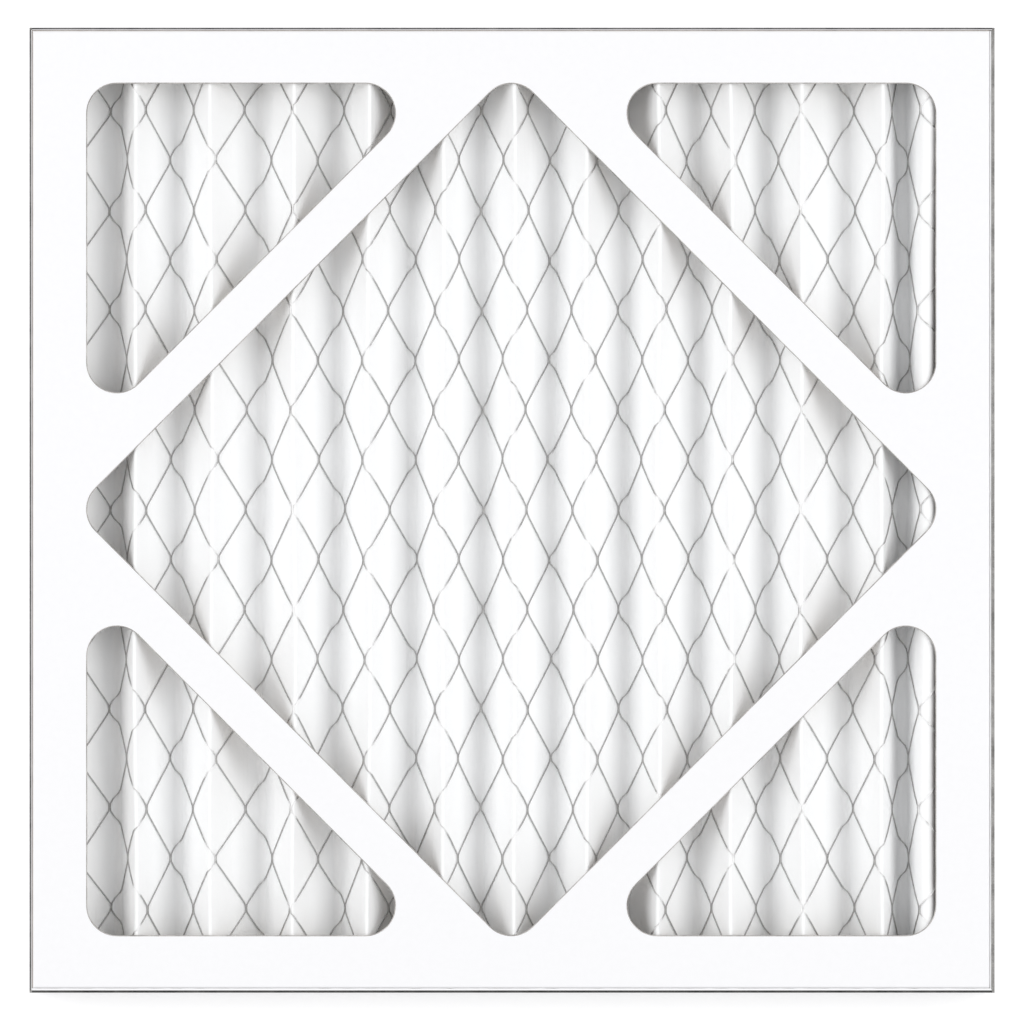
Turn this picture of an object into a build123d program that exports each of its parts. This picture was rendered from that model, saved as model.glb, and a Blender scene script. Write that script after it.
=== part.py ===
from build123d import *
from math import asin, atan2, cos, hypot, sin, sqrt
import os

# A disposable pleated panel filter in a folded board frame. Millimetres, lying flat.
# +X runs across the pleats, +Y along them and +Z to the face that the air leaves by.
# The origin is the centre of the underside.

# Frame
filter_width = 298.5  # across the pleats
filter_length = 298.5  # along the pleats
filter_depth = 22.2
board = 0.7  # thickness of the clay-coated board
fold_inside = 0.3  # inside radius of a scored fold
nest_slack = 0.5  # play of the front tray inside the back tray, all of it at the right and the bottom
flange_clearance = 0.1  # from the front tray's flange tips to the back tray's folds
corner_slit = 0.4  # between the back tray's flanges where they meet
tab_length = 12.0  # glue tabs at the front tray's corners

# Windows, the same in both trays
side_border = 17.75  # board left of and right of the windows
end_border = 17.2  # board above and below them
strut_width = 13.0
window_radius = 9.5

# Filter medium and its grid
medium = 1.2  # thickness of the non-woven sheet
crest_fold = 0.8  # radius of the sheet's middle round a fold at the front
valley_fold = 2.2  # the same at the back
strand_thickness = 0.4
strand_width = 0.6
mesh_long = 61.9  # diamond, bond to bond along the pleats: every second strand of the metal
mesh_short = 58.0  # the same across, measured on the flat sheet
bond_length = 3.3
grid_margin = 1.2  # metal left round the grid's sheared edge
smallest_gap = 2.0  # mm across, under which a diamond cut by the edge is left filled

# Adhesive
seal = 1.0  # thickness of the coat between a flange and the medium
seal_inset = 0.6  # from the coat's edges to the trays' faces

# The horizontal run of each panel of the pleats, from the left. Hand-folded pleats are a little
# uneven, and they are stretched together to fill the frame.
panel_runs = [
    7.6, 16.3, 6.5, 12.8, 10.7, 14.9, 10.8, 12.7, 10.5, 13.1, 9.8, 12.0, 10.2, 11.9,
    10.8, 11.8, 10.4, 12.3, 10.0, 11.8, 10.3, 13.8, 11.0, 7.0, 7.2, 10.6, 7.2,
]

fold_outside = fold_inside + board
front_width = filter_width - 2 * board - nest_slack
front_length = filter_length - 2 * board - nest_slack
inner_width = front_width - 2 * board
inner_length = front_length - 2 * board
nest_x = -nest_slack / 2
nest_y = nest_slack / 2
front_tip = fold_outside + flange_clearance
pack_width = inner_width - 2 * seal
pack_length = inner_length - 2 * seal
bottom_middle = board + medium / 2
top_middle = filter_depth - board - strand_thickness - medium / 2


def nested(height):
    """A level plane at a height, centred on what nests in the back tray."""
    return Plane((nest_x, nest_y, height))


def windows():
    """The diamond and the four corner triangles that are cut from each face."""
    half_x = filter_width / 2 - side_border
    half_y = filter_length / 2 - end_border
    apex = window_radius * (sqrt(2) - 1)
    tip_x = half_x + apex
    tip_y = half_y + apex
    slant = hypot(tip_x, tip_y) / tip_x / tip_y
    beyond = 1 + strut_width * slant
    with BuildSketch() as cut:
        with BuildLine():
            Polyline((tip_x, 0), (0, tip_y), (-tip_x, 0), (0, -tip_y), close=True)
        make_face()
        for side_x in (-1, 1):
            for side_y in (-1, 1):
                near_x = tip_x * (beyond - half_y / tip_y)
                near_y = tip_y * (beyond - half_x / tip_x)
                with BuildLine():
                    Polyline(
                        (side_x * half_x, side_y * half_y),
                        (side_x * near_x, side_y * half_y),
                        (side_x * half_x, side_y * near_y),
                        close=True,
                    )
                make_face()
        fillet(cut.vertices(), radius=window_radius)
    return cut.sketch


class Fold:
    """One fold of the medium: the centre that the sheet bends round, and its bend, which is the
    radius of the sheet's middle, above zero at a crest and below zero at a valley."""

    def __init__(self, x, crest):
        self.x = x
        self.crest = crest
        self.bend = crest_fold if crest else -valley_fold
        self.z = (top_middle if crest else bottom_middle) - self.bend


def folds():
    """The folds from left to right: a valley at the left flange, a crest at the right one."""
    stretch = pack_width / sum(panel_runs)
    x = -pack_width / 2
    found = [Fold(x, crest=False)]
    for number, run in enumerate(panel_runs):
        x += run * stretch
        found.append(Fold(x, crest=number % 2 == 0))
    return found


def on_fold(fold, slope, lift):
    """The point of a fold where the sheet has a slope, lifted from the middle towards the front."""
    reach = fold.bend + lift
    return (fold.x - reach * sin(slope), fold.z + reach * cos(slope))


def panel_slope(first, second):
    """The slope of the flat panel that runs on from one fold into the next."""
    across = second.x - first.x
    rise = second.z - first.z
    return atan2(rise, across) - asin((first.bend - second.bend) / hypot(across, rise))


def folded_line(lift):
    """The sheet's line across the pleats, lifted from its middle: straight panels and round folds."""
    row = folds()
    slopes = [0] + [panel_slope(first, second) for first, second in zip(row, row[1:])] + [0]
    with BuildLine() as line:
        for number, fold in enumerate(row):
            before, after = slopes[number:number + 2]
            ThreePointArc(
                on_fold(fold, before, lift),
                on_fold(fold, (before + after) / 2, lift),
                on_fold(fold, after, lift),
            )
            if number + 1 < len(row):
                Line(on_fold(fold, after, lift), on_fold(row[number + 1], after, lift))
    return Wire(line.edges())


def sheet_section(low, high):
    """The section of a folded sheet between two lifts."""
    under = folded_line(low)
    over = folded_line(high)
    with BuildSketch() as section:
        with BuildLine():
            add(under)
            add(over)
            Line(under @ 0, over @ 0)
            Line(under @ 1, over @ 1)
        make_face()
    return section.sketch


def on_level(start, end, level):
    """The point at a height on the line through two points."""
    share = (level - start[1]) / (end[1] - start[1])
    return (start[0] + share * (end[0] - start[0]), level)


def mesh_line(lift):
    """The expanded metal's line across the pleats, lifted from the medium's front, from the first
    crest to the last valley. Each fold is a narrow level flat, on top of a crest and just clear of
    the round bottom of a valley."""
    row = folds()[1:-1]
    slopes = [panel_slope(first, second) for first, second in zip(row, row[1:])]
    rise = medium / 2 + lift
    levels = []
    for number, fold in enumerate(row):
        if fold.crest:
            levels.append(top_middle + rise)
        else:
            steepest = max(abs(slope) for slope in slopes[max(number - 1, 0):number + 1])
            levels.append(fold.z + (fold.bend + medium / 2) * cos(steepest) + lift)
    points = [(row[0].x, levels[0])]
    for number, slope in enumerate(slopes):
        start = on_fold(row[number], slope, rise)
        end = on_fold(row[number + 1], slope, rise)
        points.append(on_level(start, end, levels[number]))
        points.append(on_level(start, end, levels[number + 1]))
    points.append((row[-1].x, levels[-1]))
    return points


def stations(line):
    """Lengths along a line of points, from its first to each of them."""
    found = [0]
    for start, end in zip(line, line[1:]):
        found.append(found[-1] + hypot(end[0] - start[0], end[1] - start[1]))
    return found


def diamond(strand_slope):
    """One gap of the flat expanded metal, clear of the strands and of the bonds that join them."""
    half_across = mesh_short / 2 - strand_width
    tip = mesh_long / 2 - bond_length / 2 - strand_width / 2 * hypot(1, strand_slope)
    shoulder = tip - strand_slope * half_across
    return [
        (0, tip), (half_across, shoulder), (half_across, -shoulder),
        (0, -tip), (-half_across, -shoulder), (-half_across, shoulder),
    ]


def clipped(corners, axis, limit, side):
    """A convex outline, cut off where one coordinate passes a limit on one side."""
    kept = []
    for start, end in zip(corners, corners[1:] + corners[:1]):
        start_in = side * (limit - start[axis]) >= 0
        end_in = side * (limit - end[axis]) >= 0
        if start_in:
            kept.append(start)
        if start_in != end_in:
            share = (limit - start[axis]) / (end[axis] - start[axis])
            kept.append(tuple(a + share * (b - a) for a, b in zip(start, end)))
    return kept


def mesh_gaps():
    """The gaps of the expanded metal as seen from the front, once it is folded."""
    line = mesh_line(strand_thickness / 2)
    turns = stations(line)
    outline = diamond((mesh_long / 2 - bond_length) / (mesh_short / 2))
    columns = int(turns[-1] / mesh_short) + 1
    rows = int(pack_length / mesh_long) + 1
    edge = pack_length / 2 - grid_margin
    faces = []
    for column in range(-columns, columns + 1):
        for row in range(-rows, rows + 1):
            if (column + row) % 2 == 0:
                continue
            across = turns[-1] / 2 + column * mesh_short / 2
            along = row * mesh_long / 2
            corners = [(across + s, along + y) for s, y in outline]
            corners = clipped(corners, 0, grid_margin, -1)
            corners = clipped(corners, 0, turns[-1] - grid_margin, 1)
            corners = clipped(corners, 1, -edge, -1)
            corners = clipped(corners, 1, edge, 1)
            if not corners:
                continue
            spans = [max(c[axis] for c in corners) - min(c[axis] for c in corners) for axis in (0, 1)]
            if min(spans) > smallest_gap:
                faces.append(folded_face(corners, line, turns))
    return faces


def folded_face(corners, line, turns):
    """A gap's outline on the flat metal, as it looks from the front after folding."""
    points = []
    for start, end in zip(corners, corners[1:] + corners[:1]):
        low, high = sorted((start[0], end[0]))
        crossed = [turn for turn in turns if low < turn < high]
        if end[0] < start[0]:
            crossed.reverse()
        points.append(start)
        for turn in crossed:
            share = (turn - start[0]) / (end[0] - start[0])
            points.append((turn, start[1] + share * (end[1] - start[1])))
    return Face(Wire.make_polygon([(seen_at(s, line, turns), y, 0) for s, y in points], close=True))


def seen_at(length, line, turns):
    """How far across a point on the folded metal is, from its length along the metal."""
    for number, turn in enumerate(turns[1:], start=1):
        if length <= turn:
            break
    share = (length - turns[number - 1]) / (turns[number] - turns[number - 1])
    return line[number - 1][0] + share * (line[number][0] - line[number - 1][0])


with BuildPart() as back_tray:
    Box(filter_width, filter_length, filter_depth, align=(Align.CENTER, Align.CENTER, Align.MIN))
    fillet(back_tray.faces().sort_by(Axis.Z)[0].edges(), radius=fold_outside)
    offset(amount=-board, openings=back_tray.faces().sort_by(Axis.Z)[-1])
    with BuildSketch():
        add(windows())
    extrude(amount=board, mode=Mode.SUBTRACT)
    with BuildSketch(Plane.XY.offset(fold_outside)):
        for side_y in (-1, 1):
            with Locations((0, side_y * (filter_length / 2 - board))):
                Rectangle(
                    filter_width, corner_slit, align=(Align.CENTER, Align.MIN if side_y < 0 else Align.MAX)
                )
        Rectangle(filter_width - 2 * board, filter_length, mode=Mode.SUBTRACT)
    extrude(amount=filter_depth, mode=Mode.SUBTRACT)

with BuildPart() as front_tray:
    with BuildSketch(nested(front_tip)):
        Rectangle(front_width, front_length)
    extrude(amount=filter_depth - front_tip)
    fillet(front_tray.faces().sort_by(Axis.Z)[-1].edges(), radius=fold_outside)
    offset(amount=-board, openings=front_tray.faces().sort_by(Axis.Z)[0])
    with BuildSketch(nested(filter_depth)):
        add(windows())
    extrude(amount=-board, mode=Mode.SUBTRACT)
    with BuildSketch(nested(front_tip)):
        for side_x in (-1, 1):
            for side_y in (-1, 1):
                with Locations((side_x * inner_width / 2, side_y * inner_length / 2)):
                    Rectangle(
                        tab_length,
                        board,
                        align=(
                            Align.MIN if side_x < 0 else Align.MAX,
                            Align.MIN if side_y < 0 else Align.MAX,
                        ),
                    )
    extrude(amount=filter_depth - front_tip - fold_outside)

with BuildPart() as media_pack:
    with BuildSketch(nested(0) * Plane.XZ):
        add(sheet_section(-medium / 2, medium / 2))
    extrude(amount=pack_length / 2, both=True)

with BuildPart() as support_grid:
    with BuildSketch(nested(0) * Plane.XZ):
        with BuildLine():
            Polyline(mesh_line(0) + mesh_line(strand_thickness)[::-1], close=True)
        make_face()
    extrude(amount=pack_length / 2, both=True)
    with BuildSketch(nested(0)):
        add(mesh_gaps())
    extrude(amount=filter_depth, mode=Mode.SUBTRACT)

seal_base = board + seal_inset
seal_height = filter_depth - 2 * seal_base
end_seal_length = inner_width - 2 * tab_length - 2 * seal

with BuildPart() as end_seal_top:
    with BuildSketch(nested(seal_base)):
        with Locations((0, inner_length / 2)):
            Rectangle(end_seal_length, seal, align=(Align.CENTER, Align.MAX))
    extrude(amount=seal_height)

with BuildPart() as end_seal_bottom:
    with BuildSketch(nested(seal_base)):
        with Locations((0, -inner_length / 2)):
            Rectangle(end_seal_length, seal, align=(Align.CENTER, Align.MIN))
    extrude(amount=seal_height)

with BuildPart() as side_seal_left:
    with BuildSketch(nested(seal_base)):
        with Locations((-inner_width / 2, 0)):
            Rectangle(seal, pack_length, align=(Align.MIN, Align.CENTER))
    extrude(amount=seal_height)

with BuildPart() as side_seal_right:
    with BuildSketch(nested(seal_base)):
        with Locations((inner_width / 2, 0)):
            Rectangle(seal, pack_length, align=(Align.MAX, Align.CENTER))
    extrude(amount=seal_height)

os.makedirs("parts", exist_ok=True)

front_tray.part.label = "front_tray"
back_tray.part.label = "back_tray"
media_pack.part.label = "media_pack"
support_grid.part.label = "support_grid"
end_seal_top.part.label = "end_seal_top"
end_seal_bottom.part.label = "end_seal_bottom"
side_seal_left.part.label = "side_seal_left"
side_seal_right.part.label = "side_seal_right"

export_step(front_tray.part, "parts/front_tray.step")
export_step(back_tray.part, "parts/back_tray.step")
export_step(media_pack.part, "parts/media_pack.step")
export_step(support_grid.part, "parts/support_grid.step")
export_step(end_seal_top.part, "parts/end_seal_top.step")
export_step(end_seal_bottom.part, "parts/end_seal_bottom.step")
export_step(side_seal_left.part, "parts/side_seal_left.step")
export_step(side_seal_right.part, "parts/side_seal_right.step")
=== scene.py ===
# %% [markdown]
# # A pleated panel air filter
# The object is a throw-away filter for a ventilation unit: a folded sheet of white non-woven medium, an
# expanded-metal sheet bonded to the side that the air leaves by, and two die-cut trays of coated board that
# hold them. The construction comes ready made as a frame of solid parts. This lesson dresses it: it builds
# the soft and fine pieces as meshes, gives every surface its finish, and sets a plain studio round it.
# Blender counts in metres, so the filter's lengths are written in millimetres times MM.

# %% Load the frame
import math
import random

import bpy
from mathutils import Matrix, Vector, noise


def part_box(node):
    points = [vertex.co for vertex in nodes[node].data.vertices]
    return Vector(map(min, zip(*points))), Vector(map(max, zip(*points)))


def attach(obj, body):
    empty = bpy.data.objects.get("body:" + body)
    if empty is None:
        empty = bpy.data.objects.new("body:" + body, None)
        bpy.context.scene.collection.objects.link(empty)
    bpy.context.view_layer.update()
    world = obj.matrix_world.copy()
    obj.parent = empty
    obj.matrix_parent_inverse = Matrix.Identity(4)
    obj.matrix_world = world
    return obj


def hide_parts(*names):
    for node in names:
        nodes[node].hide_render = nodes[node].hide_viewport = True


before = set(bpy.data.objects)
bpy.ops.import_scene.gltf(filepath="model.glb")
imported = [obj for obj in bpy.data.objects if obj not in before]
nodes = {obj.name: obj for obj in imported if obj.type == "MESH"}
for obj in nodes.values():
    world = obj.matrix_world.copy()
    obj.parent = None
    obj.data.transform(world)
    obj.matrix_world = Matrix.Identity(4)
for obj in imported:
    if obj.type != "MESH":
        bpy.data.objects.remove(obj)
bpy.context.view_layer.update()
MM = 0.001
print("parts:", sorted(nodes))

# %% [markdown]
# ## Sizes
# A piece that is dressed must lie where its solid lies, so its reach is read from the solids' boxes. Only
# what the boxes can't say is written down: how thick the medium is on a panel and where a crest pinches it,
# the radii of its folds, and the run of each panel in millimetres. A blade folds the felt and the felt
# springs back, so no two panels need have the same run, and one crest near the right has spread.

# %% Sizes of the pleated pack
pack_low, pack_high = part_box("media_pack")
tray_low, tray_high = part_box("front_tray")
outer_low, outer_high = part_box("back_tray")
tray_middle = (tray_high + tray_low) / 2
outer_middle = (outer_high + outer_low) / 2
outer_half = (outer_high - outer_low) / 2

MEDIUM = 1.2 * MM
PINCHED = 0.8 * MM
CREST_FOLD = 0.45 * MM
VALLEY_FOLD = 2.2 * MM
SPREAD_FOLD = 2.4 * MM
SPREAD_FOLD_NUMBER = 25
PANEL_RUNS = [
    7.6, 16.3, 6.5, 12.8, 10.7, 14.9, 10.8, 12.7, 10.5, 13.1, 9.8, 12.0, 10.2, 11.9,
    10.8, 11.8, 10.4, 12.3, 10.0, 11.8, 10.3, 13.8, 11.0, 7.0, 7.2, 10.6, 7.2,
]
pack_width = pack_high.x - pack_low.x
pack_length = pack_high.y - pack_low.y
middle_y = (pack_high.y + pack_low.y) / 2
top_middle = pack_high.z - PINCHED / 2
bottom_middle = pack_low.z + MEDIUM / 2
print("panels:", len(PANEL_RUNS), "pack", round(pack_width / MM, 1), "x", round(pack_length / MM, 1))

# %% [markdown]
# ## The folds of the sheet
# The medium is one sheet. Seen from the end it is a line that bends over a round at each crest and under one
# at each valley. A sculpted surface could be pushed into this shape by eye, but a formula keeps the
# thickness true all the way round every fold, and the metal can follow the same one. The folds of a real
# pack wander a little along their length, so each is moved by two slow waves of its own.

# %% Folds at one place along the pleats
WANDER = 0.28 * MM
WAVES_A_FOLD = 2
WAVE_LENGTHS = (120 * MM, 240 * MM)
WAVE_SEED = 7
wave_rng = random.Random(WAVE_SEED)
waves = [
    [(wave_rng.uniform(*WAVE_LENGTHS), wave_rng.uniform(0, math.tau)) for _ in range(WAVES_A_FOLD)]
    for _ in range(len(PANEL_RUNS) + 1)
]


def folds_at(y):
    """The folds at one place along the pleats, each as the x and z that it bends round and its bend, which
    is its radius, above zero at a crest and below zero at a valley."""
    stretch = pack_width / sum(PANEL_RUNS)
    x = pack_low.x
    folds = []
    for number in range(len(PANEL_RUNS) + 1):
        crest = number % 2 == 1
        bend = CREST_FOLD if crest else -VALLEY_FOLD
        if number == SPREAD_FOLD_NUMBER:
            bend = SPREAD_FOLD
        at_end = number in (0, len(PANEL_RUNS))
        sway = 0 if at_end else sum(math.sin(math.tau * y / long + turn) for long, turn in waves[number])
        folds.append((x + WANDER * sway, (top_middle if crest else bottom_middle) - bend, bend))
        if number < len(PANEL_RUNS):
            x += PANEL_RUNS[number] * stretch
    return folds


print("folds:", len(folds_at(middle_y)))

# %% [markdown]
# ## Points of the sheet
# Between two folds the sheet runs straight, and it touches both rounds as a belt touches two wheels. So a
# point of it is found from three things: which fold or panel it is on, how far along that it is, and how far
# it is lifted from the sheet's middle. Folds and panels are counted in turn, as stretches: the even ones are
# folds and the odd ones are the panels between them.

# %% Slopes and points


def panel_slope(first, second):
    """The slope of the flat panel that runs on from one fold into the next."""
    across = second[0] - first[0]
    rise = second[1] - first[1]
    return math.atan2(rise, across) - math.asin((first[2] - second[2]) / math.hypot(across, rise))


def section_at(y):
    """The folds, and the slopes on each side of them, at one place along the pleats."""
    folds = folds_at(y)
    return folds, [0, *(panel_slope(a, b) for a, b in zip(folds, folds[1:])), 0]


def on_fold(fold, slope, lift):
    """The point of a fold where the sheet has a slope, lifted from its middle."""
    x, z, bend = fold
    return x - (bend + lift) * math.sin(slope), z + (bend + lift) * math.cos(slope)


def between(start, end, share):
    """The point at a share of the way from one point to another."""
    return tuple(a + share * (b - a) for a, b in zip(start, end))


def sheet_point(section, stretch, share, lift):
    """A point of the sheet, from its stretch, the share along that and the lift."""
    folds, slopes = section
    number = stretch // 2
    before, after = slopes[number:number + 2]
    if stretch % 2 == 0:
        return on_fold(folds[number], before + share * (after - before), lift)
    return between(on_fold(folds[number], after, lift), on_fold(folds[number + 1], after, lift), share)


plain_section = section_at(middle_y)
print("steepest panel:", round(math.degrees(max(map(abs, plain_section[1])))), "degrees")

# %% [markdown]
# ## Thickness and length
# The blade presses the felt thin at a crest, and from a fifth of a panel away it has its full thickness. One
# thickness all over would be simpler, but then the crests would look swollen. The length of the sheet laid
# flat is the sum of its folds and panels along its own middle: so much medium goes into one filter.

# %% Thickness and flat length
PINCH_REACH = 0.2


def half_thickness(stretch, share):
    """Half the sheet's thickness: little on a crest, and from there on it eases in to the full one."""
    crest_first = stretch // 2 % 2 == 1
    if stretch % 2 == 0:
        away = 0 if crest_first else 1
    else:
        away = min(1, (share if crest_first else 1 - share) / PINCH_REACH)
    return (PINCHED + (MEDIUM - PINCHED) * away * away * (3 - 2 * away)) / 2


def stretch_lengths(section, lift_at):
    """The length of every fold and panel in turn, at a lift that is worked out for each place."""
    folds, slopes = section
    lengths = []
    for stretch in range(2 * len(PANEL_RUNS) + 1):
        number = stretch // 2
        if stretch % 2 == 0:
            turn = slopes[number + 1] - slopes[number]
            lengths.append(abs(turn * (folds[number][2] + lift_at(stretch, 0))))
        else:
            ends = [sheet_point(section, stretch, share, lift_at(stretch, share)) for share in (0, 1)]
            lengths.append(math.dist(*ends))
    return lengths


def middle_lift(stretch, share):
    """The sheet's own middle."""
    return 0


flat_length = sum(stretch_lengths(plain_section, middle_lift))
print("the medium laid flat is", round(flat_length / MM), "mm long")

# %% [markdown]
# ## Loft of the medium
# The sheet gets a front skin and a back skin, with lines along the pleats and rows across them. Its loft is
# uneven, so both skins sink by up to a sixth of a millimetre, by the noise that Blender keeps for scripts,
# which is the same each time. A displacement modifier could do this too, but it is harder to keep inside
# the solid.

# %% Lines and loft of the mesh
FOLD_STEPS = 6
PANEL_STEPS = 8
ROW_STEP = 3.2 * MM
LOFT = 0.16 * MM
LOFT_SIZE = 7.0 * MM
LOFT_FALL = 0.8
LOFT_FINER = 2.0
LOFT_LAYERS = 3


def columns_of_sheet():
    """Where the mesh has its lines along the pleats, as stretch and share."""
    places = []
    for stretch in range(2 * len(PANEL_RUNS) + 1):
        steps = FOLD_STEPS if stretch % 2 == 0 else PANEL_STEPS
        places += [(stretch, step / steps) for step in range(steps)]
    return places + [(2 * len(PANEL_RUNS), 1.0)]


def loft_at(x, y, z, side):
    """How far a skin sinks at a point. The side moves the pattern, so that the two skins differ."""
    swell = noise.fractal(Vector((x, y, z + side)) / LOFT_SIZE, LOFT_FALL, LOFT_FINER, LOFT_LAYERS)
    return LOFT * (0.5 + 0.5 * max(-1.0, min(1.0, swell)))


columns = columns_of_sheet()
rows = math.ceil(pack_length / ROW_STEP)
print("the mesh has", len(columns), "lines and", rows + 1, "rows")

# %% [markdown]
# ## The medium's mesh
# The two skins and a wall round their edge make one closed mesh, as the felt is one closed body. A solidify
# modifier on a single skin would close it too, but to pinch the crests it needs a weight on every point.

# %% Build the medium


def medium_corners():
    """The corners of the front skin, row by row, and then those of the back skin."""
    verts = []
    for side in (1, -1):
        for row in range(rows + 1):
            y = pack_low.y + pack_length * row / rows
            section = section_at(y)
            for stretch, share in columns:
                half = half_thickness(stretch, share)
                x, z = sheet_point(section, stretch, share, side * half)
                sunk = side * (half - loft_at(x, y, z, side))
                x, z = sheet_point(section, stretch, share, sunk)
                verts.append((x, y, z))
    return verts


def medium_faces():
    """The faces of both skins, and of the wall that joins them round the edge."""
    wide = len(columns)
    skin = wide * (rows + 1)
    faces = []
    for row in range(rows):
        for column in range(wide - 1):
            a = row * wide + column
            quad = (a, a + 1, a + wide + 1, a + wide)
            faces.append(quad)
            faces.append(tuple(skin + corner for corner in reversed(quad)))
    for a in range(wide - 1):
        for edge, flip in ((a, 1), (rows * wide + a, -1)):
            quad = (edge, skin + edge, skin + edge + 1, edge + 1)
            faces.append(quad[::flip])
    for row in range(rows):
        for edge, flip in ((row * wide, -1), (row * wide + wide - 1, 1)):
            quad = (edge, skin + edge, skin + edge + wide, edge + wide)
            faces.append(quad[::flip])
    return faces


def add_piece(name, verts, faces):
    """A mesh made of corners and faces, as an object of the scene."""
    mesh = bpy.data.meshes.new(name)
    mesh.from_pydata(verts, [], faces)
    mesh.validate()
    piece = bpy.data.objects.new(name, mesh)
    bpy.context.scene.collection.objects.link(piece)
    return piece


medium_piece = add_piece("pleated_medium", medium_corners(), medium_faces())
medium_piece.data.shade_smooth()
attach(medium_piece, "root")
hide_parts("media_pack")
print("medium:", len(medium_piece.data.polygons), "faces")

# %% [markdown]
# ## The expanded metal
# Expanded metal is one sheet that was slit in staggered rows and pulled open. Each band between two rows of
# slits becomes a wire that zigzags along the sheet and is still joined to its left and right neighbours
# where there was no slit: those short joints are the bonds. So the mesh is built from such wires, laid out
# flat first. A wireframe modifier on a lattice would be shorter, but it can't make the bonds or keep the
# strands' flat section square to the medium.

# %% Bonds and zigzags on the flat sheet
MESH_LONG = 30.95 * MM
MESH_SHORT = 29.0 * MM
BOND = 2.2 * MM
BOND_HALF = 0.16 * MM
NODE_JITTER = 0.3 * MM
BOND_SEED = 23
node_rng = random.Random(BOND_SEED)
node_shift = {}


def node_at(column, row):
    """A bond's place on the flat metal, with the small unevenness of the pulled sheet."""
    key = (column, row)
    if key not in node_shift:
        node_shift[key] = (node_rng.uniform(-1, 1) * NODE_JITTER, node_rng.uniform(-1, 1) * NODE_JITTER)
    across, along = node_shift[key]
    return column * MESH_SHORT / 2 + across, middle_y + row * MESH_LONG / 2 + along


def zigzag(column):
    """The middle line of the wire between two columns of bonds, from the bottom edge to the top."""
    reach = math.ceil(pack_length / MESH_LONG) + 1
    line = []
    for row in range(-reach, reach + 1):
        if (column + row) % 2 == 0:
            across, along = node_at(column, row)
            across += BOND_HALF
        else:
            across, along = node_at(column + 1, row)
            across -= BOND_HALF
        line.append((across, along - BOND / 2))
        line.append((across, along + BOND / 2))
    return line


print("diamonds are", round(MESH_SHORT / MM, 1), "x", round(MESH_LONG / MM, 1), "mm from bond to bond")

# %% [markdown]
# ## Uneven strands
# A pulled strand bends softly into its bond and never runs quite straight. So the zigzag gets more points,
# each is drawn towards its neighbours, and a small wave moves them sideways. A bevelled curve would give
# smooth bends too, but all of them alike.

# %% Ease and wave a strand
BOND_STEPS = 2
DIAGONAL_STEPS = 9
KEPT_SHARE = 0.7
STRAND_WAVE = 0.16 * MM
STRAND_WAVE_SIZE = 9 * MM
STRAND_APART = 3.7


def bent_line(line, column):
    """The zigzag with points along its diagonals, its corners eased and its runs a little uneven."""
    points = []
    for number, (start, end) in enumerate(zip(line, line[1:])):
        steps = BOND_STEPS if number % 2 == 0 else DIAGONAL_STEPS
        points += [between(start, end, step / steps) for step in range(steps)]
    eased = [
        between(between(before, after, 0.5), point, KEPT_SHARE)
        for before, point, after in zip(points, points[1:], points[2:])
    ]
    waved = []
    for across, along in eased:
        wave = noise.noise(Vector((column * STRAND_APART, along / STRAND_WAVE_SIZE, 0)))
        waved.append((across + STRAND_WAVE * wave, along))
    return waved


print("strands wave by", round(STRAND_WAVE / MM, 2), "mm at most")

# %% [markdown]
# ## The metal laid along the pleats
# The metal is bonded to the medium and folded with it, so it takes the same folds, just clear of the front
# skin. Length is counted there from the sheet's left end, stretch by stretch, and the metal reaches from the
# first crest to the last valley. Four marks part each fold in three: a wire gets a point at each mark, so
# that it bends round the fold and never cuts through it. A shrinkwrap modifier could lay a flat mesh on the
# medium, but it would stretch the diamonds on the steep panels.

# %% Measure the metal along the pleats
STRAND_GAP = 0.02 * MM
STRAND_WIDE = 0.34 * MM
FOLD_SHARES = (0, 1 / 3, 2 / 3, 1)
NODE_OFF_MIDDLE = 1.7 * MM
SHORTEST_SPLIT = 0.05 * MM


def grid_lift(stretch, share):
    """The underside of the strands, just clear of the medium's front skin."""
    return half_thickness(stretch, share) + STRAND_GAP


lengths = stretch_lengths(plain_section, grid_lift)
fold_marks = [
    sum(lengths[:stretch]) + share * lengths[stretch]
    for stretch in range(2, len(lengths), 2)
    for share in FOLD_SHARES
]
first_crest = sum(lengths[:2]) + lengths[2] / 2
last_valley = sum(lengths) - sum(lengths[-2:]) - lengths[-3] / 2
grid_middle = (first_crest + last_valley) / 2 - NODE_OFF_MIDDLE


def place_of(length):
    """The stretch of the sheet, and the share along it, at a length from its left end."""
    for stretch, part in enumerate(lengths):
        if length <= part:
            return stretch, length / part
        length -= part
    return len(lengths) - 1, 1.0


def split_at_folds(points):
    """Adds the points where a wire meets a mark, and drops those past the ends of the pleats."""
    split = []
    for start, end in zip(points, points[1:]):
        low, high = sorted((grid_middle + start[0], grid_middle + end[0]))
        shares = [0.0]
        if high - low > SHORTEST_SPLIT:
            for mark in fold_marks:
                if low < mark < high:
                    shares.append((mark - grid_middle - start[0]) / (end[0] - start[0]))
        split += [between(start, end, share) for share in sorted(shares)]
    split.append(points[-1])
    return [p for p in split if pack_low.y + STRAND_WIDE < p[1] < pack_high.y - STRAND_WIDE]


print("the metal laid flat is", round((last_valley - first_crest) / MM), "mm wide")

# %% [markdown]
# ## Sweep the strands
# Each point of a wire is carried onto the pleats, with the way out of the sheet there. A flat section is set
# on it, square to the sheet, and joined to the one before. A curve with a bevel profile would sweep as well,
# but it turns its section by a rule of its own and would twist it off the medium.

# %% Build the expanded metal
STRAND_THICK = 0.3 * MM
STRAND_SECTION = ((-0.5, 0), (0.5, 0), (0.5, 1), (-0.5, 1))
NO_WIDTH = 1e-9


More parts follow.
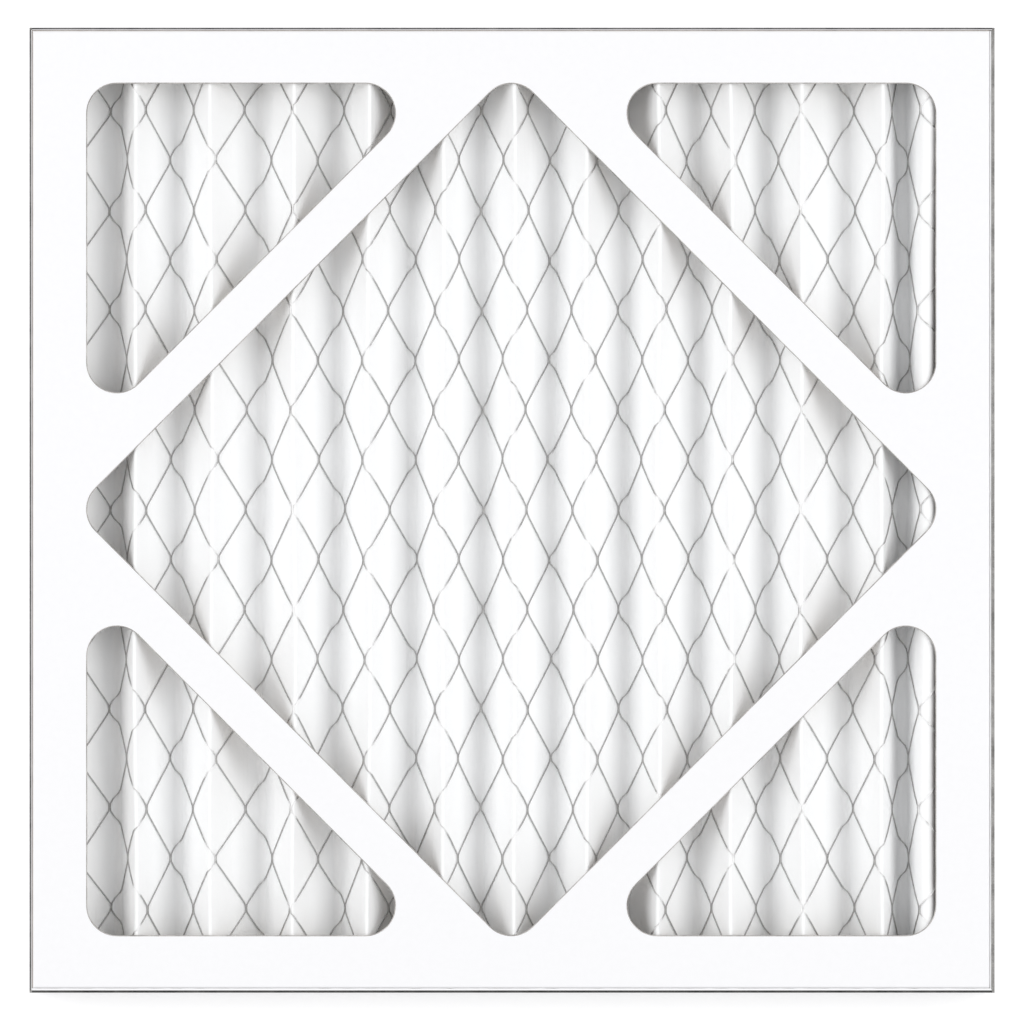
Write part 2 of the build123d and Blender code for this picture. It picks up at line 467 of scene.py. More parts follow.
def over_pleats(points, sections):
    """A wire's points on the pleats, each with the way out of the sheet, or None where the metal ends.
    The sections that were worked out are kept, as many points share one."""
    carried = []
    for across, along in points:
        length = grid_middle + across
        if not first_crest < length < last_valley:
            carried.append(None)
            continue
        key = round(along / MM, 2)
        if key not in sections:
            sections[key] = section_at(along)
        stretch, share = place_of(length)
        lift = grid_lift(stretch, share)
        x, z = sheet_point(sections[key], stretch, share, lift)
        x_out, z_out = sheet_point(sections[key], stretch, share, lift + MM)
        carried.append((Vector((x, along, z)), Vector((x_out - x, 0, z_out - z)).normalized()))
    return carried


def sweep_strand(wire, verts, faces):
    """Adds one wire, swept with the strand's flat section, to the lists of corners and faces."""
    start = None
    for number, here in enumerate(wire):
        if here is None:
            start = None
            continue
        at, out = here
        others = [wire[n][0] for n in (number - 1, number + 1) if 0 <= n < len(wire) and wire[n]] or [at]
        ahead = others[-1] - (others[0] if len(others) > 1 else at)
        wide = ahead.cross(out)
        if wide.length < NO_WIDTH:
            wide = Vector((1, 0, 0))
        wide.normalize()
        base = len(verts)
        for aside, up in STRAND_SECTION:
            verts.append(at + wide * aside * STRAND_WIDE + out * up * STRAND_THICK)
        if start is None:
            faces.append((base, base + 1, base + 2, base + 3))
        else:
            for corner in range(4):
                after = (corner + 1) % 4
                faces.append((start + corner, base + corner, base + after, start + after))
        if number + 1 == len(wire) or wire[number + 1] is None:
            faces.append((base + 3, base + 2, base + 1, base))
        start = base


grid_verts = []
grid_faces = []
known_sections = {}
wires_a_side = math.ceil((last_valley - first_crest) / MESH_SHORT)
for column in range(-wires_a_side - 1, wires_a_side + 1):
    flat_wire = split_at_folds(bent_line(zigzag(column), column))
    sweep_strand(over_pleats(flat_wire, known_sections), grid_verts, grid_faces)
grid_piece = add_piece("expanded_metal", grid_verts, grid_faces)
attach(grid_piece, "root")
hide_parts("support_grid")
print("expanded metal:", len(grid_piece.data.polygons), "faces")

# %% [markdown]
# ## The outlines of the windows
# Both trays have the same five windows: a diamond and, past its four struts, a triangle in each corner. All
# corners are rounded, because a cutting rule is a strip of steel that is bent to shape. The outlines could
# be read off the solids' edges, but a few named sizes give them with evenly spaced points.

# %% Outlines of the windows
SIDE_BORDER = 17.75 * MM
END_BORDER = 17.2 * MM
STRUT_WIDTH = 13.0 * MM
WINDOW_RADIUS = 9.5 * MM
CORNER_STEPS = 14


def rounded_outline(corners, radius):
    """An anticlockwise loop with rounded corners, as points that each have the way into the window."""
    loop = []
    for before, corner, after in zip(corners[-1:] + corners[:-1], corners, corners[1:] + corners[:1]):
        back = (Vector(before) - Vector(corner)).normalized()
        ahead = (Vector(after) - Vector(corner)).normalized()
        middle = (back + ahead).normalized()
        half_angle = back.angle(ahead) / 2
        centre = Vector(corner) + middle * radius / math.sin(half_angle)
        turn = math.pi / 2 - half_angle
        facing = math.atan2(-middle.y, -middle.x)
        for step in range(CORNER_STEPS + 1):
            angle = facing - turn + 2 * turn * step / CORNER_STEPS
            outward = Vector((math.cos(angle), math.sin(angle)))
            loop.append((centre + radius * outward, -outward))
    return loop


def window_corners():
    """The corners of the diamond and the four triangles, each run anticlockwise. The diamond's sharp corners
    lie past the borders, because it is the rounded ones that touch them. Beyond is where the far side of a
    strut lies, as a share of the way out from the middle to the diamond's own side."""
    half_x = (outer_high.x - outer_low.x) / 2 - SIDE_BORDER
    half_y = (outer_high.y - outer_low.y) / 2 - END_BORDER
    apex = WINDOW_RADIUS * (math.sqrt(2) - 1)
    tip_x, tip_y = half_x + apex, half_y + apex
    beyond = 1 + STRUT_WIDTH * math.hypot(tip_x, tip_y) / tip_x / tip_y
    near_x = tip_x * (beyond - half_y / tip_y)
    near_y = tip_y * (beyond - half_x / tip_x)
    windows = [[(tip_x, 0), (0, tip_y), (-tip_x, 0), (0, -tip_y)]]
    for side_x in (-1, 1):
        for side_y in (-1, 1):
            triangle = [
                (side_x * half_x, side_y * half_y), (side_x * near_x, side_y * half_y),
                (side_x * half_x, side_y * near_y),
            ]
            windows.append(triangle if side_x * side_y > 0 else triangle[::-1])
    return windows


print("windows in each tray:", len(window_corners()))

# %% [markdown]
# ## The raw edges of the windows
# A steel rule die cuts the windows out of the flat board. It presses as it cuts, so the edge is not square:
# the coat rolls over a little and the torn kraft fibres below stand a few tenths of a millimetre proud. A
# bevel on the tray could give a chamfer, but the tray's mesh stays as it is, so each window gets a thin lip
# of its own, swept round the same outline that the window was cut to.

# %% Sweep the lips
EDGE_STEP = 2.5 * MM
LIP = [(-0.02, 0.01), (0.1, 0.05), (0.24, 0.2), (0.32, 0.42), (0.3, 0.62), (0.2, 0.69), (-0.02, 0.69)]
LIP_UNEVEN = 0.25
LIP_FRAY_SIZE = 1.1 * MM


def filled_in(loop):
    """The loop with points along its straight sides too, so that they can be uneven."""
    dense = []
    for (here, way), (there, next_way) in zip(loop, loop[1:] + loop[:1]):
        steps = max(1, round((there - here).length / EDGE_STEP))
        for step in range(steps):
            share = step / steps
            dense.append((here.lerp(there, share), way.lerp(next_way, share).normalized()))
    return dense


def ring_faces(here, there, around):
    """The faces that join two neighbouring rings of a swept section, from the first corner of each."""
    faces = []
    for corner in range(around):
        after = (corner + 1) % around
        faces.append((here + corner, here + after, there + after, there + corner))
    return faces


def window_lips(name, face_level, down, centre):
    """The lips of one tray's windows. Down is -1 where the board lies below its face, and 1 where above."""
    verts = []
    faces = []
    around = len(LIP)
    for corners in window_corners():
        loop = filled_in(rounded_outline(corners, WINDOW_RADIUS))
        start = len(verts)
        for place, inward in loop:
            fray = 1 + LIP_UNEVEN * noise.noise(Vector((place.x, place.y, face_level)) / LIP_FRAY_SIZE)
            for proud, depth in LIP:
                reach = proud * MM * (fray if proud > 0 else 1)
                at = place + inward * reach
                verts.append((at.x + centre.x, at.y + centre.y, face_level + down * depth * MM))
        for number in range(len(loop)):
            there = start + (number + 1) % len(loop) * around
            joined = ring_faces(start + number * around, there, around)
            faces += joined if down < 0 else [quad[::-1] for quad in joined]
    return add_piece(name, verts, faces)


window_edges = [
    window_lips("front_window_edges", tray_high.z, -1, tray_middle),
    window_lips("back_window_edges", outer_low.z, 1, outer_middle),
]
print("lips:", [len(piece.data.polygons) for piece in window_edges], "faces")

# %% [markdown]
# ## The raw tips of the flanges
# The outer tray's flanges end level with the face, and their cut tips are the grey line round the filter.
# The front tray is pushed to the left and the top inside it, so at the right and the bottom a slot is left,
# and the burr that the guillotine leaves leans over it. Each flange gets one strip, swept straight along
# its tip, whose burr is a little uneven. The points of a section say how far in from the flange's outside
# and how high above its tip they lie, in millimetres. As with the windows, a bevel would change the tray.

# %% Sweep the flange tips
TIP_STEP = 2.0 * MM
TIP_SHY = 0.75 * MM
TIP_UNEVEN = 0.12 * MM
TIP_FRAY_SIZE = 3.5 * MM
TIP_APART = 5.0
BURR_FROM = 1
CLOSED_TIP = [(0.0, -0.04), (0.1, 0.03), (0.62, 0.03), (0.7, -0.04), (0.66, -0.12)]
OPEN_TIP = [
    (0.0, -0.04), (0.1, 0.03), (0.7, 0.03), (1.18, 0.0), (1.36, -0.05), (1.3, -0.16), (0.66, -0.22),
]
TIP_STRIPS = {
    "closed_flange_tips": ((1, 2), CLOSED_TIP),
    "bottom_flange_tip": ((3,), OPEN_TIP),
    "right_flange_tip": ((0,), OPEN_TIP),
}


def tip_strips(name, quarters, section):
    """A strip along the tips of some flanges. They are numbered anticlockwise from the right one."""
    verts = []
    faces = []
    around = len(section)
    for quarter in quarters:
        across, along = (outer_half.x, outer_half.y) if quarter % 2 == 0 else (outer_half.y, outer_half.x)
        turn = Matrix.Rotation(quarter * math.pi / 2, 3, "Z")
        steps = math.ceil(2 * (along - TIP_SHY) / TIP_STEP)
        start = len(verts)
        for step in range(steps + 1):
            y = (along - TIP_SHY) * (2 * step / steps - 1)
            fray = TIP_UNEVEN * noise.noise(Vector((quarter * TIP_APART, y / TIP_FRAY_SIZE, 0)))
            for inset, rise in section:
                shift = fray if inset > BURR_FROM else 0
                at = turn @ Vector((across - inset * MM + shift, y, 0))
                verts.append((at.x + outer_middle.x, at.y + outer_middle.y, outer_high.z + rise * MM))
        for step in range(steps):
            faces += ring_faces(start + step * around, start + (step + 1) * around, around)
        faces.append(tuple(start + corner for corner in reversed(range(around))))
        faces.append(tuple(start + steps * around + corner for corner in range(around)))
    return add_piece(name, verts, faces)


flange_tips = {
    name: tip_strips(name, quarters, section) for name, (quarters, section) in TIP_STRIPS.items()
}
for lip in [*window_edges, *flange_tips.values()]:
    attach(lip, "root")
    print(lip.name, len(lip.data.polygons), "faces")

# %% [markdown]
# ## Colours and nodes
# Colours are written as the eye reads them, in hex. The renderer works in linear light, so one function
# turns them. A second one adds a shader node with its settings and its links, which keeps each material
# below short enough to read as a recipe. It could all be clicked together in the shader editor, but a
# script can be read and repeated.

# %% Helpers for materials


def linear(code, alpha=1.0):
    """A hex colour as linear red, green, blue and alpha."""
    parts = [int(code[at:at + 2], 16) / 255 for at in (1, 3, 5)]
    return [p / 12.92 if p <= 0.04045 else ((p + 0.055) / 1.055) ** 2.4 for p in parts] + [alpha]


def node(tree, kind, settings=None, **inputs):
    """Adds a node. A setting is an attribute of it, and an input is a value or another node's socket. An
    input goes by its name, with _ for each space, or by _ and its number where names are shared."""
    made = tree.nodes.new(kind)
    for name, value in (settings or {}).items():
        setattr(made, name, value)
    for name, value in inputs.items():
        socket = made.inputs[int(name[1:])] if name[1:].isdigit() else made.inputs[name.replace("_", " ")]
        if isinstance(value, bpy.types.NodeSocket):
            tree.links.new(value, socket)
        else:
            socket.default_value = value
    return made


def new_material(name):
    """An empty material and its tree."""
    material = bpy.data.materials.new(name)
    material.use_nodes = True
    material.node_tree.nodes.clear()
    return material, material.node_tree


def finish_material(tree, shader):
    """Links a shader to the surface."""
    node(tree, "ShaderNodeOutputMaterial", Surface=shader.outputs[0])


def dress(piece, material):
    """Gives a piece one material."""
    piece.data.materials.clear()
    piece.data.materials.append(material)


print("middle grey in linear light:", round(linear("#808080")[0], 3))

# %% [markdown]
# ## Bare kraft
# Wherever the board was cut or carries no coat, its kraft fibres show. A fibre is some 0.03 mm wide, too
# fine to show from here, so flecks of 0.35 mm stand for them, over the slow cloudiness that paper has when
# it is held to the light. Two mixed noises are enough, and unlike a scanned sheet they never repeat.

# %% Mottle and colour of kraft
FLECK = 0.35 * MM
CLOUD = 6 * MM


def kraft_fibres(tree, at):
    """The mottle of fibres that a cut or bare kraft surface shows, from 0 to 1."""
    flecks = node(tree, "ShaderNodeTexNoise", Vector=at, Scale=1 / FLECK, Detail=3.0, Roughness=0.7)
    clouds = node(tree, "ShaderNodeTexNoise", Vector=at, Scale=1 / CLOUD, Detail=2.0, Roughness=0.6)
    half_flecks = node(tree, "ShaderNodeMath", {"operation": "MULTIPLY"}, _0=flecks.outputs[0], _1=0.5)
    mixed = node(
        tree, "ShaderNodeMath", {"operation": "MULTIPLY_ADD"}, _0=clouds.outputs[0], _1=0.5,
        _2=half_flecks.outputs[0],
    )
    return node(tree, "ShaderNodeMapRange", Value=mixed.outputs[0], From_Min=0.36, From_Max=0.64)


def kraft_colour(tree, fibres, dark, pale):
    """Two tones of bare board mixed by the mottle of fibres."""
    return node(
        tree, "ShaderNodeMix", {"data_type": "RGBA"}, Factor=fibres.outputs[0],
        _6=linear(dark), _7=linear(pale),
    )


print("kraft flecks per centimetre:", round(10 * MM / FLECK))

# %% [markdown]
# ## Clay-coated board
# The trays are kraft board with a white clay coat on its outer side. The coat is calendered, which gives a
# smooth satin white with a faint mottle from the fibres under it. On the inner side the brown kraft shows,
# and on the cut tips its grey core. One material does it all: it finds the coated side from where a point is
# on the tray and which way it faces, so no second material or hand-painted mask is needed.

# %% Where the coat is
RIM_REACH = 0.3 * MM
FACES_OUT = 0.01 * MM


def coat_mask(tree, place, normal, half, outward):
    """The coat: 1 on the face of a tray and on the outside of its flanges, and 0 elsewhere."""
    facing = node(tree, "ShaderNodeSeparateXYZ", _0=normal)
    level = node(tree, "ShaderNodeMath", {"operation": "MULTIPLY"}, _0=facing.outputs[2], _1=outward)
    is_level = node(tree, "ShaderNodeMath", {"operation": "GREATER_THAN"}, _0=level.outputs[0], _1=0.5)
    sides = []
    for axis, reach in ((0, half.x), (1, half.y)):
        away = node(tree, "ShaderNodeMath", {"operation": "ABSOLUTE"}, _0=place.outputs[axis])
        at_rim = node(
            tree, "ShaderNodeMath", {"operation": "GREATER_THAN"}, _0=away.outputs[0], _1=reach - RIM_REACH,
        )
        out = node(
            tree, "ShaderNodeMath", {"operation": "MULTIPLY"},
            _0=facing.outputs[axis], _1=place.outputs[axis],
        )
        is_out = node(
            tree, "ShaderNodeMath", {"operation": "GREATER_THAN"}, _0=out.outputs[0], _1=FACES_OUT,
        )
        sides.append(node(
            tree, "ShaderNodeMath", {"operation": "MULTIPLY"}, _0=at_rim.outputs[0], _1=is_out.outputs[0],
        ))
    wall = node(
        tree, "ShaderNodeMath", {"operation": "MAXIMUM"}, _0=sides[0].outputs[0], _1=sides[1].outputs[0],
    )
    return node(
        tree, "ShaderNodeMath", {"operation": "MAXIMUM"}, _0=is_level.outputs[0], _1=wall.outputs[0],
    )


print("the coat reaches", round(RIM_REACH / MM, 1), "mm in from the rim")

# %% [markdown]
# ## Coat and kraft in one material
# The mask picks between the two sides. Clay coat is a white of high but not full brightness, with a mottle
# of 2 mm and a fine grain, which is drawn at half a millimetre because the real one is too fine to show. It
# is half rough where coated and almost fully rough where bare. Two materials and a list of faces for each
# would do as well, but then every change to the tray would need a new list.

# %% Board material
COAT_MOTTLE = 2.2 * MM
COAT_GRAIN = 0.5 * MM
GRAIN_DEPTH = 0.05 * MM
TIP_TOLERANCE = 0.1 * MM


def board_material(name, low, high, outward):
    """White coat on the outside of a tray, grey cut tips on its flanges and kraft inside."""
    material, tree = new_material(name)
    here = node(tree, "ShaderNodeTexCoord")
    at = here.outputs["Object"]
    centre = (high + low) / 2
    local = node(
        tree, "ShaderNodeVectorMath", {"operation": "SUBTRACT"}, _0=at, _1=(centre.x, centre.y, 0),
    )
    place = node(tree, "ShaderNodeSeparateXYZ", _0=local.outputs[0])
    coated = coat_mask(tree, place, here.outputs["Normal"], (high - low) / 2, outward)

    mottle = node(tree, "ShaderNodeTexNoise", Vector=at, Scale=1 / COAT_MOTTLE, Detail=3.0, Roughness=0.6)
    coat = node(
        tree, "ShaderNodeMix", {"data_type": "RGBA"}, Factor=mottle.outputs[0],
        _6=linear("#F2F2F4"), _7=linear("#F6F6F8"),
    )
    fibres = kraft_fibres(tree, at)
    kraft = kraft_colour(tree, fibres, "#B0A08F", "#D6CABC")
    tip = kraft_colour(tree, fibres, "#656462", "#A3A2A0")
    tip_level = high.z if outward < 0 else low.z
    at_tip = node(
        tree, "ShaderNodeMath", {"operation": "COMPARE"}, _0=place.outputs[2], _1=tip_level,
        _2=TIP_TOLERANCE,
    )
    bare = node(
        tree, "ShaderNodeMix", {"data_type": "RGBA"}, Factor=at_tip.outputs[0],
        _6=kraft.outputs[2], _7=tip.outputs[2],
    )
    colour = node(
        tree, "ShaderNodeMix", {"data_type": "RGBA"}, Factor=coated.outputs[0],
        _6=bare.outputs[2], _7=coat.outputs[2],
    )
    grain = node(tree, "ShaderNodeTexNoise", Vector=at, Scale=1 / COAT_GRAIN, Detail=2.0, Roughness=0.65)
    bump = node(tree, "ShaderNodeBump", Strength=0.12, Distance=GRAIN_DEPTH, Height=grain.outputs[0])
    dull = node(tree, "ShaderNodeMapRange", Value=coated.outputs[0], To_Min=0.92, To_Max=0.5)
    shader = node(
        tree, "ShaderNodeBsdfPrincipled", Base_Color=colour.outputs[2], Roughness=dull.outputs[0],
        IOR=1.5, Normal=bump.outputs[0],
    )
    finish_material(tree, shader)
    return material


dress(nodes["front_tray"], board_material("clay_coated_board_front", tray_low, tray_high, 1.0))
dress(nodes["back_tray"], board_material("clay_coated_board_back", outer_low, outer_high, -1.0))
print("board on both trays")

# %% [markdown]
# ## Die-cut kraft
# The lips round the windows are torn fibre, not coat: a matt warm grey, paler where the white coat was
# rolled over the edge, and with no gloss at all. A bump would be lost on so thin a lip, so the colour alone
# carries the mottle.

# %% Material of the window edges


def edge_material(name, dark, pale):
    """Matt torn kraft fibre with some of the coat's white rubbed into it."""
    material, tree = new_material(name)
    at = node(tree, "ShaderNodeTexCoord").outputs["Object"]
    colour = kraft_colour(tree, kraft_fibres(tree, at), dark, pale)
    shader = node(tree, "ShaderNodeBsdfPrincipled", Base_Color=colour.outputs[2], Roughness=0.95, IOR=1.45)
    finish_material(tree, shader)
    return material


torn_edge = edge_material("die_cut_kraft_edge", "#8B8885", "#D3D0CD")
for lip in window_edges:
    dress(lip, torn_edge)
print("torn kraft on the window edges")

# %% [markdown]
# ## Guillotined tips
# A guillotine cuts the flanges to height. Its cut bares the board's grey core, and past the core the white
# coat of the burr shows. How much core is bare differs from flange to flange, so each strip has a width of
# core of its own. Its pair of greys is the core's own grey on the right flange, and on the others that grey
# darkened as painted shade, more at the top and left and most at the bottom. The width is measured in from
# the rim by the material itself, which spares a second piece.

# %% Material of the flange tips
CORE_BLUR = 0.05 * MM
# Core width and two greys of each strip; the closed and bottom strips' darker greys are painted shade.
TIP_CORES_AND_PAINTED_SHADE = {
    "closed_flange_tips": (0.5 * MM, "#383837", "#6E6D6C"),
    "bottom_flange_tip": (0.74 * MM, "#262625", "#545352"),
    "right_flange_tip": (1.06 * MM, "#6E6D6B", "#A9A8A6"),
}


def tip_material(name, core, dark, pale):
    """The grey core of a cut flange tip with painted shade, and its inner white coat past the core's width.
    """
    material, tree = new_material(name)
    at = node(tree, "ShaderNodeTexCoord").outputs["Object"]
    local = node(
        tree, "ShaderNodeVectorMath", {"operation": "SUBTRACT"}, _0=at,
        _1=(outer_middle.x, outer_middle.y, 0),
    )
    away = node(tree, "ShaderNodeVectorMath", {"operation": "ABSOLUTE"}, _0=local.outputs[0])
    inset = node(
        tree, "ShaderNodeVectorMath", {"operation": "SUBTRACT"},
        _0=(outer_half.x, outer_half.y, 0), _1=away.outputs[0],
    )
    each = node(tree, "ShaderNodeSeparateXYZ", _0=inset.outputs[0])
    nearest = node(
        tree, "ShaderNodeMath", {"operation": "MINIMUM"}, _0=each.outputs[0], _1=each.outputs[1],
    )
    past = node(
        tree, "ShaderNodeMapRange", Value=nearest.outputs[0],
        From_Min=core - CORE_BLUR, From_Max=core + CORE_BLUR,
    )
    grey = kraft_colour(tree, kraft_fibres(tree, at), dark, pale)
    colour = node(
        tree, "ShaderNodeMix", {"data_type": "RGBA"}, Factor=past.outputs[0],
        _6=grey.outputs[2], _7=linear("#F4F4F6"),
    )
    shader = node(tree, "ShaderNodeBsdfPrincipled", Base_Color=colour.outputs[2], Roughness=0.9, IOR=1.45)
    finish_material(tree, shader)
    return material


for name, (core, dark, pale) in TIP_CORES_AND_PAINTED_SHADE.items():
    dress(flange_tips[name], tip_material("guillotined_board_of_" + name, core, dark, pale))
print("bare core and coat on the flange tips")

# %% [markdown]
# ## Non-woven medium
# The medium is a lofty felt of crimped polyester and cotton fibres. A fibre is 0.02 to 0.03 mm thick, too
# fine to show from here, so the pattern draws the tangles that fibres make, about 0.7 mm across, as a faint
# mottle in white and as a small relief, with long soft creases along the pleats. It has hardly any gloss.
# Real hair would give every fibre, at a thousand times the cost.

# %% Medium material
TANGLE = 0.7 * MM
TANGLE_DEPTH = 0.1 * MM
CREASE = 1.6 * MM
CREASE_DEPTH = 0.25 * MM
CREASE_DRAWN_OUT = 0.03


def medium_material():
    """Matt white felt with the tangle of its fibres and creases along the pleats."""
    material, tree = new_material("air_laid_polyester_felt")
    at = node(tree, "ShaderNodeTexCoord").outputs["Object"]
    tangle = node(
        tree, "ShaderNodeTexNoise", Vector=at, Scale=1 / TANGLE, Detail=3.0, Roughness=0.7, Distortion=1.2,
    )
    along = node(tree, "ShaderNodeMapping", Vector=at, Scale=(1, CREASE_DRAWN_OUT, 1))
    crease = node(tree, "ShaderNodeTexNoise", Vector=along.outputs[0], Scale=1 / CREASE, Detail=1.0)
    colour = node(
        tree, "ShaderNodeMix", {"data_type": "RGBA"}, Factor=tangle.outputs[0],
        _6=linear("#FAFBFC"), _7=linear("#FFFFFF"),
    )
    tangle_bump_and_painted_glare = node(tree, "ShaderNodeBump", Strength=0.3, Distance=TANGLE_DEPTH, Height=tangle.outputs[0])
    bump = node(
        tree, "ShaderNodeBump", Strength=0.5, Distance=CREASE_DEPTH, Height=crease.outputs[0],
        Normal=tangle_bump_and_painted_glare.outputs[0],
    )
    shader = node(
        tree, "ShaderNodeBsdfPrincipled", Base_Color=colour.outputs[2], Roughness=0.95, IOR=1.45,
        Specular_IOR_Level=0.15, Normal=bump.outputs[0],
    )
    finish_material(tree, shader)
    return material


dress(medium_piece, medium_material())
print("felt on the medium")

# %% [markdown]
# ## Galvanised strand
# The metal is thin steel sheet that was galvanised before it was slit, so its flats carry dull zinc. It has
# no colour of its own but what the zinc gives, a cool grey whose spangle of 2 mm is faint, and its roughness
# spreads the light of the room over it. Where a strand rides over a crest it is painted white in patches and
# loses its metal: a painted highlight for the glare that it catches there.

# %% Metal material
SPANGLE = 1.8 * MM
GLARE_PATCH = 4 * MM
CREST_GLARE_DEPTH = 2.6 * MM


def strand_material():
    """Dull zinc, painted white in patches where it rides over a crest, as a painted highlight."""
    material, tree = new_material("galvanised_slit_steel")
    at = node(tree, "ShaderNodeTexCoord").outputs["Object"]
    spangle = node(tree, "ShaderNodeTexNoise", Vector=at, Scale=1 / SPANGLE, Detail=3.0, Roughness=0.6)
    zinc = node(
        tree, "ShaderNodeMix", {"data_type": "RGBA"}, Factor=spangle.outputs[0],
        _6=linear("#A4A3A2"), _7=linear("#D0CFCE"),
    )
    # Painted highlight: close under the top of the pack the zinc turns white in patches, standing for glare.
    height = node(tree, "ShaderNodeSeparateXYZ", _0=at)
    near_crest = node(
        tree, "ShaderNodeMapRange", {"interpolation_type": "SMOOTHSTEP"}, Value=height.outputs[2],
        From_Min=pack_high.z - CREST_GLARE_DEPTH, From_Max=pack_high.z, To_Min=0.0, To_Max=1.0,
    )
    patchy = node(tree, "ShaderNodeTexNoise", Vector=at, Scale=1 / GLARE_PATCH, Detail=2.0)
    patches = node(tree, "ShaderNodeMapRange", Value=patchy.outputs[0], From_Min=0.35, From_Max=0.6)
    tangle_bump_and_painted_glare = node(
        tree, "ShaderNodeMath", {"operation": "MULTIPLY", "use_clamp": True},
        _0=near_crest.outputs[0], _1=patches.outputs[0],
    )
    colour = node(
        tree, "ShaderNodeMix", {"data_type": "RGBA"}, Factor=tangle_bump_and_painted_glare.outputs[0],
        _6=zinc.outputs[2], _7=linear("#FAFAFA"),
    )
    metal = node(tree, "ShaderNodeMath", {"operation": "SUBTRACT"}, _0=1.0, _1=tangle_bump_and_painted_glare.outputs[0])
    dull = node(tree, "ShaderNodeMapRange", Value=spangle.outputs[0], To_Min=0.5, To_Max=0.34)
    shader = node(
        tree, "ShaderNodeBsdfPrincipled", Base_Color=colour.outputs[2], Metallic=metal.outputs[0],
        Roughness=dull.outputs[0],
    )
    finish_material(tree, shader)
    return material


dress(grid_piece, strand_material())
print("zinc on the expanded metal")

# %% [markdown]
# ## Hot-melt adhesive
# A coat of hot melt seals the pack to the flanges. It set from a liquid, so it is smooth, slightly cloudy
# and cream-coloured, with a soft gloss and slow waves where it ran. It could be given true translucence,
# but it lies in the dark behind the border, where that would only cost time.

# %% Adhesive material
MELT_WAVE = 6 * MM
MELT_DEPTH = 0.4 * MM


def adhesive_material():
    """Cloudy cream hot melt with slow waves."""
    material, tree = new_material("hot_melt_adhesive_set")
    at = node(tree, "ShaderNodeTexCoord").outputs["Object"]
    runs = node(tree, "ShaderNodeTexNoise", Vector=at, Scale=1 / MELT_WAVE, Detail=2.0, Roughness=0.5)
    colour = node(
        tree, "ShaderNodeMix", {"data_type": "RGBA"}, Factor=runs.outputs[0],
        _6=linear("#DCD5C0"), _7=linear("#EFE9D8"),
    )
    bump = node(tree, "ShaderNodeBump", Strength=0.4, Distance=MELT_DEPTH, Height=runs.outputs[0])
    shader = node(
        tree, "ShaderNodeBsdfPrincipled", Base_Color=colour.outputs[2], Roughness=0.35, IOR=1.48,
        Normal=bump.outputs[0],
    )
    finish_material(tree, shader)
    return material


adhesive = adhesive_material()
for name in ("end_seal_top", "end_seal_bottom", "side_seal_left", "side_seal_right"):
    dress(nodes[name], adhesive)
print("hot melt on the seals")

# %% [markdown]
# ## Floor
# The filter lies on a pale matt floor. To the camera the floor is lifted to white with a little glow of its
# own, which lights nothing else, and it still takes the filter's soft shadow. A white backdrop that is only
# lit would need more light, and that would burn out the white board.

# %% Studio floor
FLOOR_HALF = 4.0
FLOOR_DROP = 0.05 * MM
FLOOR_LIFT = 0.2


def floor_material():
    """A pale matt floor that reads as white to the camera."""
    material, tree = new_material("pale_matt_floor")
    path = node(tree, "ShaderNodeLightPath")
    seen = node(
        tree, "ShaderNodeMath", {"operation": "ADD", "use_clamp": True}, _0=path.outputs["Is Camera Ray"],
        _1=path.outputs["Is Glossy Ray"],
    )
    matt = node(tree, "ShaderNodeBsdfDiffuse", Color=linear("#F2F2F2"))
    lift = node(tree, "ShaderNodeMath", {"operation": "MULTIPLY"}, _0=seen.outputs[0], _1=FLOOR_LIFT)
    glow = node(tree, "ShaderNodeEmission", Strength=lift.outputs[0])
    both = node(tree, "ShaderNodeAddShader", _0=matt.outputs[0], _1=glow.outputs[0])
    finish_material(tree, both)
    return material


floor_corners = [
    (x * FLOOR_HALF, y * FLOOR_HALF, -FLOOR_DROP) for x, y in ((-1, -1), (1, -1), (1, 1), (-1, 1))
]
floor = add_piece("studio_floor", floor_corners, [(0, 1, 2, 3)])
dress(floor, floor_material())
print("floor:", round(2 * FLOOR_HALF), "m wide")

# %% [markdown]
# ## Light
# A white thing on a white ground reads by its shading alone, so the light is plain and soft. A white sky
# gives about two thirds of it. Two large soft lamps at the left and right give the rest: they reach down the
# flanks of the pleats but not into the valleys, which is what makes the folds read. One lamp from above
# would be simpler, and it would flatten them.

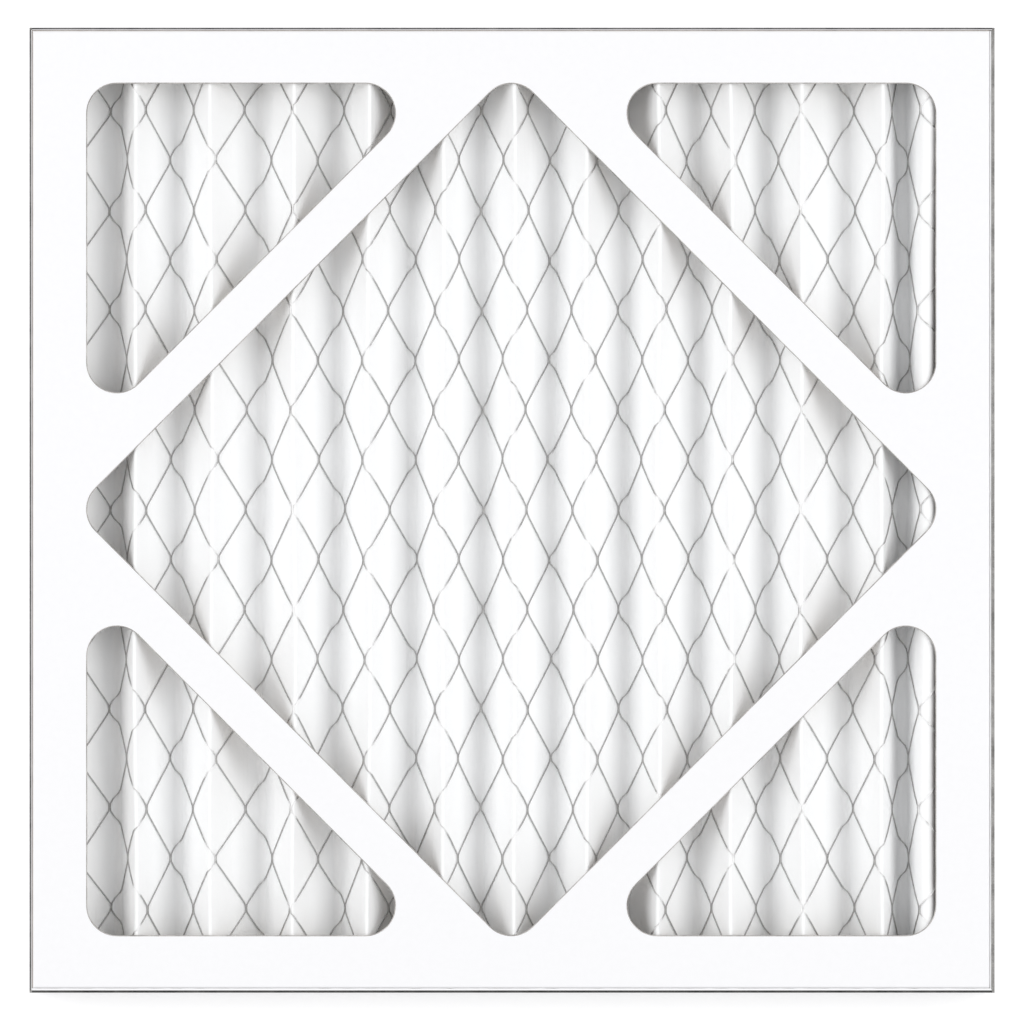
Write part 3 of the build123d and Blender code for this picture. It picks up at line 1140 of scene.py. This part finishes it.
# %% Sky and lamps
SKY = 0.68
LAMP_SIZE = 1.0
LAMP_WATTS = 7.9
LAMP_ASIDE = 1.1
LAMP_ALONG = 0.12
LAMP_HIGH = 1.15

world = bpy.data.worlds.new("even_white_sky")
world.use_nodes = True
sky = world.node_tree.nodes["Background"]
sky.inputs["Color"].default_value = (1, 1, 1, 1)
sky.inputs["Strength"].default_value = SKY
bpy.context.scene.world = world

for side in (-1, 1):
    lamp_data = bpy.data.lights.new("side_softbox", "AREA")
    lamp_data.shape = "SQUARE"
    lamp_data.size = LAMP_SIZE
    lamp_data.energy = LAMP_WATTS
    lamp = bpy.data.objects.new("side_softbox", lamp_data)
    lamp.location = (side * LAMP_ASIDE, LAMP_ALONG, LAMP_HIGH)
    lamp.rotation_euler = (-lamp.location).to_track_quat("-Z", "Y").to_euler()
    bpy.context.scene.collection.objects.link(lamp)
print("sky", SKY, "and two lamps of", LAMP_WATTS, "W")

# %% [markdown]
# ## Camera
# The filter is seen square on from far above, so its sides are hidden behind its face and the struts stay
# true. A long lens a good way off does that. An orthographic camera would too, but a real one is never quite
# without perspective. The frame is square, and two sizes in its pixels say how wide the filter is in it and
# where its centre lies.

# %% Camera
FRAME_PIXELS = 1024
FILTER_PIXELS = 965
CENTRE_PIXEL = (512.05, 510.25)
WIDTHS_AWAY = 12
SENSOR_WIDE = 36
CLIP_AT_DISTANCES = 3

face_width = outer_high.x - outer_low.x
pixel = face_width / FILTER_PIXELS
distance = WIDTHS_AWAY * face_width
camera_data = bpy.data.cameras.new("long_lens")
camera_data.sensor_width = SENSOR_WIDE
camera_data.lens = camera_data.sensor_width * distance / (FRAME_PIXELS * pixel)
camera_data.clip_end = CLIP_AT_DISTANCES * distance
camera = bpy.data.objects.new("long_lens", camera_data)
camera.location = (
    (FRAME_PIXELS / 2 - CENTRE_PIXEL[0]) * pixel,
    -(FRAME_PIXELS / 2 - CENTRE_PIXEL[1]) * pixel,
    outer_high.z + distance,
)
bpy.context.scene.collection.objects.link(camera)
bpy.context.scene.camera = camera
bpy.context.scene.view_settings.view_transform = "Standard"
print("lens", round(camera_data.lens), "mm at", round(distance, 2), "m")
